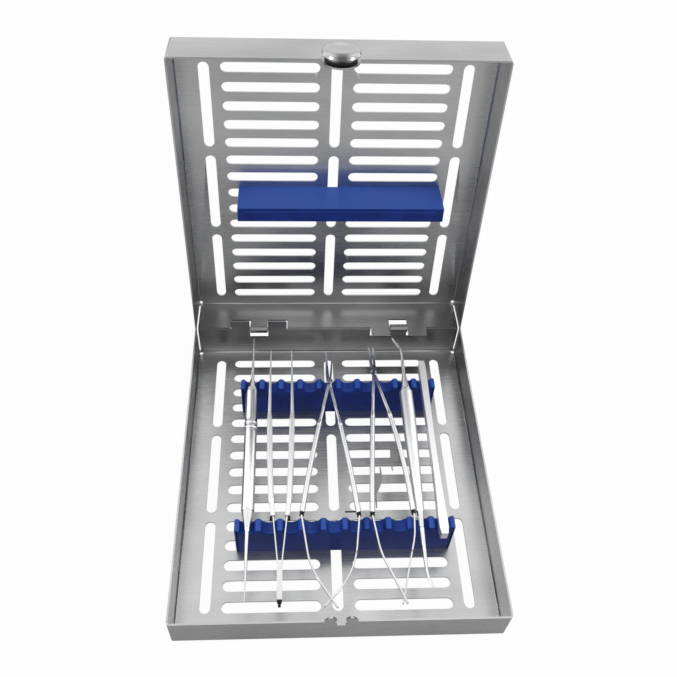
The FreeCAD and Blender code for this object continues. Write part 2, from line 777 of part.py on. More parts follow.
def spring_tool(name, pivot, tool):
    """Arms, screw, end plugs and crossing ribbons of a spring-handled tool."""
    parts = {name + "_screw": pivot_screw(pivot)}
    half = ribbon_height / 2
    reach = tool["reach"]
    for side, level in (("left", 1), ("right", -1)):
        angle = tool["angles"][side]
        parts[name + "_arm_" + side] = placed(lap_arm(tool, side, level), pivot, angle)
        plug_start = arm_point(pivot, angle, reach - plug_length)
        along = arm_point(V(0, 0, 0), angle, 1)
        parts[name + "_plug_" + side] = peg(plug_radius, plug_start, along, plug_length)
        start = arm_point(pivot, angle, reach + ribbon_play)
        knee, end = tool["ribbon"][side]
        ribbon = bent_ribbon(V(start.x, start.y, 0), V(*knee), V(*end), ribbon_bend, pivot.z - half,
                             pivot.z + half)
        near, far = sorted((pivot.z - level * (half + 1), pivot.z + level * lap_gap))
        relief = box(start.x - 60, start.x + 60, end[1] - 10, cross_start, near, far)
        parts[name + "_spring_" + side] = ribbon.cut(relief)
    return parts


def scissor_parts():
    """Micro scissors with fine jaws and a short stop rod."""
    pivot = V(valley_x(4) + 0.3, 50.6, peak_z + ribbon_height / 2 + seat_gap)
    tool = {"reach": 94.5, "jaw": 24.9, "blunt": False, "opening": 4.9,
            "angles": {"left": -11.7, "right": 8.5},
            "jaw_half": {"left": 1.0, "right": 1.9}, "bow": {"left": 1.0, "right": 1.0},
            "ribbon": {"left": ((-16.3, -73.0), (-1.9, -94.8)), "right": ((8.4, -75.5), (-8.9, -93.4))}}
    parts = spring_tool("scissor", pivot, tool)
    rod_start = arm_point(pivot, tool["angles"]["right"], tool["reach"] - plug_length - 0.7)
    parts["scissor_stop_rod"] = peg(0.45, rod_start - V(arm_radius - 0.02, 0, 0), V(-1, 0, 0), 6.0)
    return parts


def holder_parts():
    """Needle holder with blunt jaws and the two plates of a catch under its arms."""
    pivot = V(peak_x(7) - 1.45, 59.4, peak_z + ribbon_height / 2 + seat_gap)
    tool = {"reach": 102.6, "jaw": 18.6, "blunt": True, "opening": 2.5,
            "angles": {"left": -4.4, "right": 9.1},
            "jaw_half": {"left": 1.5, "right": 1.5}, "bow": {"left": 0.4, "right": 2.8},
            "ribbon": {"left": ((23.1, -64.7), (35.4, -93.3)), "right": ((43.1, -55.5), (33.1, -92.8))}}
    parts = spring_tool("holder", pivot, tool)
    under = pivot.z - arm_radius * cos(pi / small_sides)
    catch = [V(34.1, 1.4, 0), V(40.4, 1.4, 0), V(41.2, -5.0, 0), V(39.8, -7.0, 0), V(34.9, -7.0, 0),
             V(34.8, -12.6, 0), V(34.1, -12.6, 0), V(33.6, -7.0, 0)]
    lock = [V(21.8, -14.7, 0), V(26.7, -14.7, 0), V(26.7, -10.6, 0), V(27.3, -10.6, 0), V(27.7, -14.7, 0),
            V(27.5, -20.0, 0), V(25.3, -25.1, 0), V(23.6, -28.3, 0), V(23.4, -36.8, 0), V(22.7, -36.8, 0),
            V(22.6, -28.3, 0), V(21.0, -24.0, 0)]
    parts["holder_catch_plate"] = prism(catch, under - catch_thickness, under)
    parts["holder_catch_pin"] = peg(0.34, V(34.45, -12.1, under), Z_AXIS, 1.2)
    parts["holder_lock_plate"] = prism(lock, under - catch_thickness, under)
    return parts


def export(name, shape):
    """Writes one named node."""
    shape.exportStep(os.path.join("parts", name + ".step"))


def main():
    """Builds every node."""
    os.makedirs("parts", exist_ok=True)
    nodes = {"base_shell": base_shell(), "lid_shell": lid_shell(), "latch_shaft": latch_shaft(),
             "latch_washer": latch_washer(), "latch_knob": latch_knob(),
             "rear_rest": wave_bar(rear_bar_row),
             "front_rest": wave_bar(front_bar_row), "lid_pad": lid_pad()}
    origin = V(0, depth / 2 - instrument_setback, 0)
    for parts in (probe_parts(), elevator_parts(), blade_handle_parts(), tweezer_parts(), scissor_parts(),
                  holder_parts()):
        nodes.update({name: placed(shape, origin, 0) for name, shape in parts.items()})
    for name, shape in nodes.items():
        print(name, len(shape.Solids), shape.isValid(), round(shape.Volume, 1))
        export(name, shape)


main()
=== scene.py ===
import json
import logging
import math
from dataclasses import dataclass
from enum import Enum
from typing import Optional, Sequence, Union

import bmesh
import bpy
from mathutils import Matrix, Vector


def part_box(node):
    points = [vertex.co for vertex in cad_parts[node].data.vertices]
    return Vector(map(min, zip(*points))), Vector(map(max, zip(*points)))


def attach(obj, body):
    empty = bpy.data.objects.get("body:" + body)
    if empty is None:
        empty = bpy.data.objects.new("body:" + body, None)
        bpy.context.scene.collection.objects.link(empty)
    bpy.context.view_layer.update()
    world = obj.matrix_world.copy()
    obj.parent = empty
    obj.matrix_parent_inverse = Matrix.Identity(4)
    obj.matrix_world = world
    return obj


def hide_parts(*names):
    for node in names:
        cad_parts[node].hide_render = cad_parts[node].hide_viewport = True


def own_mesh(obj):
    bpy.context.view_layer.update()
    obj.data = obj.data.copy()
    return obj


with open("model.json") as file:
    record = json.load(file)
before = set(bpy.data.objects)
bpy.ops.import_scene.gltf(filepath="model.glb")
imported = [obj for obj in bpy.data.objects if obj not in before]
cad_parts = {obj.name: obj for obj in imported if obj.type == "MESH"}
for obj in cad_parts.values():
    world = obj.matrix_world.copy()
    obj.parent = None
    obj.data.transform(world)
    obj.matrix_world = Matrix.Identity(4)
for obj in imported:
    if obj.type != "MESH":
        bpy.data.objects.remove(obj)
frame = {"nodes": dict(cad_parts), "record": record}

LOG = logging.getLogger("cassette")
MM = 0.001
TINY = 1e-6
Number = Union[int, float]
Operand = Union["Value", int, float]
Material = bpy.types.Material
Form = bmesh.types.BMesh
Pair = tuple[float, float]
Triple = tuple[float, float, float]
Colour = tuple[float, float, float, float]
Outline = list[Pair]


class Dressing(Enum):
    """The record's material slots."""

    TRAY = "tray_steel"
    TOOL = "tool_steel"
    SPRING = "spring_steel"
    CHROME = "knob_chrome"
    SILICONE = "silicone"
    DARK = "dark_plug"


# Places from the frame


def joint(name: str) -> dict:
    """One joint of the record."""
    return next(item for item in frame["record"]["behaviour"]["joints"] if item["name"] == name)


def lid_turn() -> Matrix:
    """The turn about the hinge that takes the shut lid to where it stands at rest.

    Returns:
        The matrix.
    """
    hinge = joint("lid_hinge")
    place = Matrix.Translation(hinge["pos_m"])
    return place @ Matrix.Rotation(math.radians(hinge["range_deg"][0]), 4, "X") @ place.inverted()


def middle(node: str) -> Vector:
    """Centre of a CAD node's box, in metres."""
    low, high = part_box(node)
    return (low + high) / 2


# Shader graph


class Value:
    """One socket of a shader graph, with arithmetic that adds Math nodes."""

    def __init__(self, graph: "Graph", socket: bpy.types.NodeSocket) -> None:
        """Keeps the socket and the graph that it belongs to."""
        self.graph = graph
        self.socket = socket

    def math(self, operation: str, *others: Operand, swap: bool = False) -> "Value":
        """Adds a Math node.

        Args:
            operation: Blender's name of the operation.
            others: the other operands.
            swap: whether this value comes last.

        Returns:
            The node's result.
        """
        operands = [self, *others]
        if swap:
            operands.reverse()
        return self.graph.node("ShaderNodeMath", {"operation": operation}, dict(enumerate(operands)))

    def __add__(self, other: Operand) -> "Value":
        """Sum."""
        return self.math("ADD", other)

    def __radd__(self, other: Number) -> "Value":
        """Sum with a number first."""
        return self.math("ADD", other, swap=True)

    def __sub__(self, other: Operand) -> "Value":
        """Difference."""
        return self.math("SUBTRACT", other)

    def __rsub__(self, other: Number) -> "Value":
        """A number less this value."""
        return self.math("SUBTRACT", other, swap=True)

    def __mul__(self, other: Operand) -> "Value":
        """Product."""
        return self.math("MULTIPLY", other)

    def __rmul__(self, other: Number) -> "Value":
        """Product with a number first."""
        return self.math("MULTIPLY", other, swap=True)

    def __pow__(self, other: Operand) -> "Value":
        """Power."""
        return self.math("POWER", other)

    def __abs__(self) -> "Value":
        """Size without sign."""
        return self.math("ABSOLUTE")

    def step(self, low: float, high: float, start: float = 0.0, end: float = 1.0) -> "Value":
        """A smooth step from the start level, up to low, to the end level, from high on."""
        values = {"Value": self, "From Min": low, "From Max": high, "To Min": start, "To Max": end}
        return self.graph.node("ShaderNodeMapRange", {"interpolation_type": "SMOOTHSTEP"}, values)


class Graph:
    """A node tree with short ways to add to it."""

    def __init__(self, tree: bpy.types.NodeTree) -> None:
        """Takes over a material's or a world's tree and empties it."""
        self.nodes, self.links = tree.nodes, tree.links
        self.nodes.clear()

    def put(self, socket: bpy.types.NodeSocket, value: object) -> None:
        """Links or sets one input.

        Args:
            socket: the input.
            value: a Value to link, or a constant.
        """
        if isinstance(value, Value):
            self.links.new(value.socket, socket)
        else:
            socket.default_value = value

    def node(self, kind: str, settings: Optional[dict] = None, values: Optional[dict] = None,
             out: Union[int, str] = 0) -> Value:
        """Adds a node.

        Args:
            kind: Blender's type name.
            settings: attributes of the node.
            values: what goes into the sockets, by name or number.
            out: the output that is returned.

        Returns:
            The chosen output.
        """
        made = self.nodes.new(kind)
        for key, setting in (settings or {}).items():
            setattr(made, key, setting)
        for key, value in (values or {}).items():
            self.put(made.inputs[key], value)
        return Value(self, made.outputs[out])

    def close(self, kind: str, surface: Value) -> None:
        """Adds the tree's output node and feeds it."""
        self.put(self.nodes.new(kind).inputs["Surface"], surface)

    def place(self) -> Value:
        """The point in the object's own coordinates, in metres."""
        return self.node("ShaderNodeTexCoord", out="Object")

    def ray(self, kind: str) -> Value:
        """Whether the ray is of one kind, as 0 or 1."""
        return self.node("ShaderNodeLightPath", out=kind)

    def parts(self, vector: Value) -> tuple[Value, Value, Value]:
        """The X, Y and Z of a vector."""
        split = self.node("ShaderNodeSeparateXYZ", values={0: vector}).socket.node
        return tuple(Value(self, socket) for socket in split.outputs)

    def noise(self, vector: Value, stretch: Triple, detail: float, rough: float) -> Value:
        """Noise in coordinates stretched per axis.

        Args:
            vector: the coordinates.
            stretch: cycles per metre along each axis.
            detail: octaves.
            rough: roughness of the octaves.

        Returns:
            A value about 0.5.
        """
        scaled = self.node("ShaderNodeVectorMath", {"operation": "MULTIPLY"}, {0: vector, 1: stretch})
        values = {"Vector": scaled, "Scale": 1.0, "Detail": detail, "Roughness": rough}
        return self.node("ShaderNodeTexNoise", values=values)

    def mix(self, factor: Value, first: Operand, second: Operand) -> Value:
        """Mixes two numbers; the factor is the share of the second."""
        return self.node("ShaderNodeMix", {"data_type": "FLOAT"}, {0: factor, 2: first, 3: second})

    def blend(self, factor: Value, first: Union[Value, Colour], second: Union[Value, Colour]) -> Value:
        """Mixes two colours; the factor is the share of the second."""
        values = {0: factor, 6: first, 7: second}
        return self.node("ShaderNodeMix", {"data_type": "RGBA"}, values, out=2)


class Surface(Graph):
    """A material's node tree, built round a Principled shader."""

    def __init__(self, name: str) -> None:
        """Starts a material with nothing but the shader.

        Args:
            name: the material's name.
        """
        self.material = bpy.data.materials.new(name)
        self.material.use_nodes = True
        super().__init__(self.material.node_tree)
        self.shader = self.node("ShaderNodeBsdfPrincipled")

    def fill(self, **sockets: object) -> None:
        """Fills the shader's sockets, with underscores for spaces in their names."""
        for name, value in sockets.items():
            self.put(self.shader.socket.node.inputs[name.replace("_", " ")], value)

    def bump(self, height: Value, distance: float, strength: float) -> None:
        """Feeds a height into the shader's normal; a height of 1 is the distance, in metres."""
        values = {"Height": height, "Distance": distance, "Strength": strength}
        self.fill(Normal=self.node("ShaderNodeBump", values=values))

    def done(self, surface: Optional[Value] = None) -> Material:
        """Closes the tree and returns the material; without a surface it shows the plain shader."""
        self.close("ShaderNodeOutputMaterial", surface or self.shader)
        return self.material


def grey(level: float, tint: Pair = (1.0, 1.0)) -> Colour:
    """A colour of one linear level, with its green and blue as shares of the red."""
    return (level, level * tint[0], level * tint[1], 1.0)


# Finishes


@dataclass(frozen=True)
class BrushedSheet:
    """Satin brushed stainless sheet: grain along X, or up the side walls, and painted shade round the
    hinge.
    """

    name: str = "brushed_sheet"
    light: float = 0.63
    dark: float = 0.39
    light_tint: Pair = (1.002, 1.006)
    dark_tint: Pair = (1.005, 1.01)
    roughness: float = 0.28
    grain_pitch: float = 0.22 * MM
    grain_length: float = 45 * MM
    grain_depth: float = 0.02 * MM
    cloud_cycles: Triple = (14, 22, 22)
    smear_cycles: Triple = (30, 160, 160)
    hinge_shade: float = 0.2
    shade_reach: Pair = (8 * MM, 44 * MM)
    shade_rise: Pair = (2 * MM, 8 * MM)
    shade_sides: Pair = (18.2 * MM, 68.2 * MM)

    def build(self) -> Material:
        """Makes the material.

        Returns:
            The material.
        """
        graph = Surface(self.name)
        place = graph.place()
        x, y, z = graph.parts(place)
        across, along = 1 / self.grain_pitch, 1 / self.grain_length
        flat_grain = graph.noise(place, (along, across, across), 4.0, 0.6)
        side_grain = graph.noise(place, (across, across, along), 4.0, 0.6)
        normal = graph.node("ShaderNodeTexCoord", out="Normal")
        side = abs(graph.parts(normal)[0]).step(0.4, 0.8)
        grain = flat_grain + (side_grain - flat_grain) * side
        cloud = graph.noise(place, self.cloud_cycles, 3.0, 0.55)
        smear = graph.noise(place, self.smear_cycles, 5.0, 0.65).step(0.55, 0.8)
        tone = (grain * 0.45 + cloud * 0.75 - 0.1).step(0.1, 0.9)
        colour = graph.blend(tone, grey(self.dark, self.dark_tint), grey(self.light, self.light_tint))
        # painted shade: the sheet darkens near the hinge, where lid and base meet, less at the bottom and
        # more towards the sides
        _, hinge_y, hinge_z = joint("lid_hinge")["pos_m"]
        reach = ((y - hinge_y) ** 2.0 + (z - hinge_z) ** 2.0) ** 0.5
        painted_shade = reach.step(*self.shade_reach, 1.0, 0.0) * z.step(*self.shade_rise, 0.45, 1.0)
        painted_shade = painted_shade * abs(x).step(*self.shade_sides, 0.45, 0.75)
        colour = graph.blend(painted_shade, colour, grey(self.dark * self.hinge_shade))
        rough = self.roughness + (grain - 0.5) * 0.22 + (cloud - 0.5) * 0.1 + smear * 0.05
        graph.fill(Base_Color=colour, Metallic=1.0, Roughness=rough)
        graph.bump(grain, self.grain_depth, 0.35)
        return graph.done()


@dataclass(frozen=True)
class SatinTool:
    """Fine satin instrument steel with a soft sheen and handling marks."""

    name: str = "satin_tool"
    light: float = 0.84
    dark: float = 0.74
    roughness: float = 0.20
    light_tint: Pair = (1.002, 1.008)
    dark_tint: Pair = (1.004, 1.012)
    fine_cycles: Triple = (2600, 300, 2600)
    fine_depth: float = 0.01 * MM
    cloud_cycles: Triple = (60, 25, 60)

    def build(self) -> Material:
        """Makes the material.

        Returns:
            The material.
        """
        graph = Surface(self.name)
        place = graph.place()
        fine = graph.noise(place, self.fine_cycles, 3.0, 0.6)
        cloud = graph.noise(place, self.cloud_cycles, 3.0, 0.6)
        tone = (fine * 0.4 + cloud * 0.7).step(0.25, 0.85)
        colour = graph.blend(tone, grey(self.dark, self.dark_tint), grey(self.light, self.light_tint))
        rough = self.roughness + (fine - 0.5) * 0.12 + (cloud - 0.5) * 0.14
        graph.fill(Base_Color=colour, Metallic=1.0, Roughness=rough)
        graph.bump(fine, self.fine_depth, 0.4)
        return graph.done()


@dataclass(frozen=True)
class Silicone:
    """Soft blue silicone with a faint bloom, mould texture, specks of dust, and painted light on its
    up-facing crests.
    """

    name: str = "blue_silicone"
    deep: Colour = (0.003, 0.014, 0.12, 1.0)
    bloom: Colour = (0.007, 0.034, 0.27, 1.0)
    dusty: Colour = (0.25, 0.33, 0.55, 1.0)
    painted_crest_light: Colour = (0.04, 0.115, 0.5, 1.0)
    crest: Pair = (23.5 * MM, 28.4 * MM)
    roughness: float = 0.46
    specular: float = 0.22
    cloud_cycles: Triple = (70, 90, 90)
    fine_cycles: Triple = (1800, 1800, 1800)
    fine_depth: float = 0.03 * MM
    dust_cycles: Triple = (700, 700, 700)

    def build(self) -> Material:
        """Makes the material.

        Returns:
            The material.
        """
        graph = Surface(self.name)
        place = graph.place()
        cloud = graph.noise(place, self.cloud_cycles, 4.0, 0.6)
        fine = graph.noise(place, self.fine_cycles, 3.0, 0.6)
        dust = graph.noise(place, self.dust_cycles, 2.0, 0.5).step(0.66, 0.76)
        tone = (cloud * 0.8 + fine * 0.25).step(0.25, 0.8)
        colour = graph.blend(tone, self.deep, self.bloom)
        colour = graph.blend(dust * 0.12, colour, self.dusty)
        # painted light: up-facing faces high on the crests are lightened towards a paler blue
        normal = graph.node("ShaderNodeTexCoord", out="Normal")
        upward = graph.parts(normal)[2].step(0.25, 0.95)
        height = graph.parts(place)[2].step(*self.crest, 0.25, 0.8)
        colour = graph.blend(upward * height, colour, self.painted_crest_light)
        rough = self.roughness + (cloud - 0.5) * 0.16 + dust * 0.15
        graph.fill(Base_Color=colour, Roughness=rough, Specular_IOR_Level=self.specular)
        graph.bump(fine, self.fine_depth, 0.5)
        return graph.done()


@dataclass(frozen=True)
class Polished:
    """Polished chrome with hairline wiping marks and a painted dark reflection at the middle of the knob's
    front.
    """

    name: str = "polished_chrome"
    level: float = 0.52
    dark_reflection: float = 0.06
    reflection_width: Pair = (1.0 * MM, 6.0 * MM)
    reflection_end: Pair = (109.0 * MM, 115.5 * MM)
    roughness: float = 0.08
    wipe_cycles: Triple = (1500, 120, 1500)
    wipe_depth: float = 0.004 * MM
    haze_cycles: Triple = (90, 90, 90)

    def build(self) -> Material:
        """Makes the material.

        Returns:
            The material.
        """
        graph = Surface(self.name)
        place = graph.place()
        x, y, _ = graph.parts(place)
        wipe = graph.noise(place, self.wipe_cycles, 4.0, 0.6)
        haze = graph.noise(place, self.haze_cycles, 3.0, 0.6)
        colour = graph.blend(haze, grey(self.level * 0.94), grey(self.level))
        # painted reflection: a dark patch at the middle of the knob's front stands for something dark that
        # it mirrors
        painted_reflection = abs(x).step(*self.reflection_width, 1.0, 0.0) * y.step(*self.reflection_end, 0.9, 0.0)
        colour = graph.blend(painted_reflection, colour, grey(self.dark_reflection))
        graph.fill(Base_Color=colour, Metallic=1.0, Roughness=self.roughness + wipe * 0.06 + haze * 0.04)
        graph.bump(wipe, self.wipe_depth, 0.3)
        return graph.done()


@dataclass(frozen=True)
class DarkPlug:
    """Dull black plugs, pins and washer, rubbed grey in places."""

    name: str = "dark_plug"
    level: float = 0.005
    rubbed: float = 0.02
    roughness: float = 0.42
    specular: float = 0.25
    rub_cycles: Triple = (500, 500, 500)
    rub_depth: float = 0.03 * MM

    def build(self) -> Material:
        """Makes the material.

        Returns:
            The material.
        """
        graph = Surface(self.name)
        rub = graph.noise(graph.place(), self.rub_cycles, 4.0, 0.6)
        colour = graph.blend(rub.step(0.5, 0.85), grey(self.level), grey(self.rubbed))
        rough = self.roughness + rub * 0.2
        graph.fill(Base_Color=colour, Roughness=rough, Specular_IOR_Level=self.specular)
        graph.bump(rub, self.rub_depth, 0.4)
        return graph.done()


# Mesh helpers


def finished(name: str, form: Form, body: str, material: Material,
             node: str, smooth: float = 40.0) -> bpy.types.Object:
    """Turns a mesh in the frame's coordinates into a piece that rides on its body.

    Args:
        name: the piece's name.
        form: the mesh; it is freed.
        body: the body that it rides on.
        material: its material.
        node: the CAD node that it stands for.
        smooth: edges sharper than this many degrees stay sharp.

    Returns:
        The piece.
    """
    bmesh.ops.remove_doubles(form, verts=form.verts, dist=TINY / 10)
    bmesh.ops.recalc_face_normals(form, faces=form.faces)
    for face in form.faces:
        face.smooth = True
    limit = math.radians(smooth)
    for edge in form.edges:
        edge.smooth = len(edge.link_faces) == 2 and edge.calc_face_angle(0.0) < limit
    piece = placed(name, form, material)
    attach(piece, body)
    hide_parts(node)
    LOG.info("%s rides on %s", name, body)
    return piece


def placed(name: str, form: Form, material: Material) -> bpy.types.Object:
    """Puts a mesh into the scene.

    Args:
        name: the object's name.
        form: the mesh; it is freed.
        material: its material.

    Returns:
        The object.
    """
    mesh = bpy.data.meshes.new(name)
    form.to_mesh(mesh)
    form.free()
    mesh.materials.append(material)
    made = bpy.data.objects.new(name, mesh)
    bpy.context.collection.objects.link(made)
    return made


def skin(form: Form, rings: Sequence[Sequence[Vector]], close: bool = True) -> None:
    """Joins rings of equal count with quads.

    Args:
        form: the mesh to add to.
        rings: rings of points.
        close: whether both ends get a face.
    """
    rows = [[form.verts.new(point) for point in ring] for ring in rings]
    count = len(rows[0])
    for low, high in zip(rows, rows[1:]):
        for i in range(count):
            j = (i + 1) % count
            form.faces.new((low[i], low[j], high[j], high[i]))
    if close:
        form.faces.new(list(reversed(rows[0])))
        form.faces.new(rows[-1])


def block(form: Form, low: Vector, high: Vector) -> None:
    """Adds a box between two corners, in metres."""
    place = Matrix.Translation((low + high) / 2) @ Matrix.Diagonal((*(high - low), 1))
    bmesh.ops.create_cube(form, size=1.0, matrix=place)


def slab(form: Form, corners: Outline, low: float, high: float) -> None:
    """Adds an upright block between two heights on an outline of (x, y) corners, in millimetres."""
    skin(form, [[Vector((x, y, z)) * MM for x, y in corners] for z in (low, high)])


def arc(radius: float, start: float, step: float, count: int,
        centre: Sequence[float] = (0, 0)) -> Outline:
    """Points (x, y) along an arc, from a start and by equal steps, both in radians."""
    turns = [start + step * i for i in range(count)]
    return [(centre[0] + radius * math.cos(turn), centre[1] + radius * math.sin(turn)) for turn in turns]


def circle(radius: float, sides: int, centre: Sequence[float] = (0, 0)) -> Outline:
    """Points all round a circle."""
    return arc(radius, 0, 2 * math.pi / sides, sides, centre)


@dataclass(frozen=True)
class Knurl:
    """A diamond knurl between two places along a bar, in millimetres."""

    start: float
    end: float
    pitch: float = 1.5
    diamonds: int = 8
    cut: float = 0.2
    fade: float = 1.2
    bulge: float = 0.7

    def depth(self, along: float, angle: float) -> float:
        """How far the surface lies under the bar's own at one point.

        Args:
            along: distance along the bar.
            angle: angle round the bar.

        Returns:
            The depth in millimetres.
        """
        share = min(1.0, max(0.0, min(along - self.start, self.end - along) / self.fade))
        turn, run = angle * self.diamonds / 2, math.pi * (along - self.start) / self.pitch
        ridge = abs(math.sin(turn + run)) * abs(math.sin(turn - run))
        return self.cut * share * (1 - ridge ** self.bulge)


def between(start: Vector, end: Vector, leave: Vector, arrive: Vector, t: float) -> Vector:
    """A point on the smooth curve between two places.

    Args:
        start: the first place.
        end: the second place.
        leave: the run at the first place.
        arrive: the run at the second place.
        t: how far along, 0 to 1.

    Returns:
        The point.
    """
    square, cube = t ** 2, t ** 3
    return (start * (2 * cube - 3 * square + 1) + end * (3 * square - 2 * cube)
            + leave * (cube - 2 * square + t) + arrive * (cube - square))


def bar(form: Form, stations: Sequence[Sequence[float]], sides: int, knurl: Optional[Knurl] = None) -> None:
    """Adds a round bar, with smooth changes between its stations.

    Args:
        form: the mesh to add to.
        stations: (x, y, z, radius) from one end to the other, in millimetres.
        sides: points round the bar.
        knurl: an optional knurl, measured from the first station.
    """
    # rings are a spacing apart, or several to a diamond, and a steep cone runs straight
    spacing, knurl_rings, steep = 1.5, 5, 0.8
    upright = Vector((0, 0, 1))
    points = [Vector(station[:3]) for station in stations]
    radii = [station[3] for station in stations]
    last = len(points) - 1
    slopes = [(points[min(i + 1, last)] - points[max(i - 1, 0)]).normalized() for i in range(last + 1)]
    rings, travelled = [], 0.0
    for i in range(last):
        length, growth = (points[i + 1] - points[i]).length, radii[i + 1] - radii[i]
        cut = knurl is not None and travelled < knurl.end and travelled + length > knurl.start
        count = max(2, round(length / (knurl.pitch / knurl_rings if cut else spacing)))
        for step in range(count + (i == last - 1)):
            t = step / count
            centre = between(points[i], points[i + 1], slopes[i] * length, slopes[i + 1] * length, t)
            radius = radii[i] + growth * (t if abs(growth) > steep else t * t * (3 - 2 * t))
            aside = slopes[i].lerp(slopes[i + 1], t).cross(upright).normalized()
            ring = []
            for k in range(sides):
                angle = 2 * math.pi * k / sides
                reach = radius - (knurl.depth(travelled + length * t, angle) if cut else 0.0)
                ring.append((centre + (aside * math.cos(angle) + upright * math.sin(angle)) * reach) * MM)
            rings.append(ring)
        travelled += length
    skin(form, rings)


# Sub-assemblies


@dataclass
class OwnSolids:
    """CAD solids that stay, with welded facets and rounded edges."""

    widths: dict[str, float]
    segments: int
    limit: float

    def build(self) -> None:
        """Adds both modifiers to each node."""
        for node, width in self.widths.items():
            solid = frame["nodes"][node]
            weld = solid.modifiers.new("weld", "WELD")
            weld.merge_threshold = TINY
            rounding = solid.modifiers.new("edges", "BEVEL")
            rounding.width = width
            rounding.segments = self.segments
            rounding.limit_method = "ANGLE"
            rounding.angle_limit = math.radians(self.limit)


@dataclass
class WaveRest:
    """A scalloped silicone rest with soft edges and the plugs that hold it in the floor."""

    node: str
    peak_count: int = 11
    pitch: float = 12.45 * MM
    crest_radius: float = 2.1 * MM
    depth: float = 4.6 * MM
    end: float = 1.2 * MM
    end_round: float = 0.3
    floor: float = 1.0 * MM
    fillet: float = 1.1 * MM
    fillet_steps: int = 6
    plug_inner: float = 12.5 * MM
    plug_outer: float = 63.0 * MM
    plug_half: float = 3.0 * MM
    steps: int = 9

    def profile(self) -> Outline:
        """The top line: crests and troughs as arcs that meet where both have the same slope.

        Returns:
            Its (x, z) points from left to right.
        """
        low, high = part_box(self.node)
        centre, top = (low.x + high.x) / 2, high.z
        angle = 2 * math.atan(2 * self.depth / self.pitch)
        trough = self.pitch / 2 / math.sin(angle) - self.crest_radius
        points = []
        for index in range(self.peak_count):
            peak = centre + (index - (self.peak_count - 1) / 2) * self.pitch
            for step in range(-self.steps, self.steps + 1):
                turn = angle * step / self.steps
                points.append((peak + self.crest_radius * math.sin(turn),
                               top - self.crest_radius * (1 - math.cos(turn))))
            for step in range(1 - self.steps, self.steps):
                turn = angle * step / self.steps
                points.append((peak + self.pitch / 2 + trough * math.sin(turn),
                               top - self.depth + trough * (1 - math.cos(turn))))
        left, right, near = low.x, high.x, self.end * self.end_round
        inside = [point for point in points if left + self.end < point[0] < right - self.end]
        first = [(left, top - self.end), (left + near, top - near), (left + self.end, top)]
        last = [(right - self.end, top), (right - near, top - near), (right, top - self.end)]
        return first + inside + last

    def section(self, y: float, inset: float) -> list[Vector]:
        """The bar's outline at one place along its thickness.

        Args:
            y: the place.
            inset: how far the top line is moved inward for the rounded edge.

        Returns:
            The outline's points.
        """
        line = self.profile()
        ring = []
        for i, (x, z) in enumerate(line):
            before, after = line[max(i - 1, 0)], line[min(i + 1, len(line) - 1)]
            run = Vector((after[0] - before[0], after[1] - before[1])).normalized()
            if i in (0, len(line) - 1):
                run = Vector((0, 1 if i == 0 else -1))
            ring.append(Vector((x + run.y * inset, y, z - run.x * inset)))
        return ring + [Vector((point.x, y, self.floor)) for point in reversed(ring)]

    def build(self, material: Material) -> None:
        """Makes the rest.

        Args:
            material: the silicone.
        """
        low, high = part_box(self.node)
        turns = [math.pi / 2 * i / self.fillet_steps for i in range(self.fillet_steps + 1)]
        steps = [(low.y + self.fillet * (1 - math.sin(turn)), self.fillet * (1 - math.cos(turn)))
                 for turn in reversed(turns)]
        steps += [(low.y + high.y - y, inset) for y, inset in reversed(steps)]
        form = bmesh.new()
        rings = [self.section(y, inset) for y, inset in steps]
        skin(form, rings, close=False)
        for ring, facing in ((rings[0], 1), (rings[-1], -1)):
            row = [form.verts.new(point) for point in ring]
            for i in range(len(row) // 2 - 1):
                corners = (row[i], row[-i - 1], row[-i - 2], row[i + 1])
                form.faces.new(corners[::facing])
        y = (low.y + high.y) / 2
        for near, far in ((low.x + self.end, -self.plug_inner), (self.plug_inner, self.plug_outer)):
            block(form, Vector((near, y - self.plug_half, low.z)),
                  Vector((far, y + self.plug_half, self.floor)))
        finished(self.node + "_soft", form, "base", material, self.node, smooth=55)


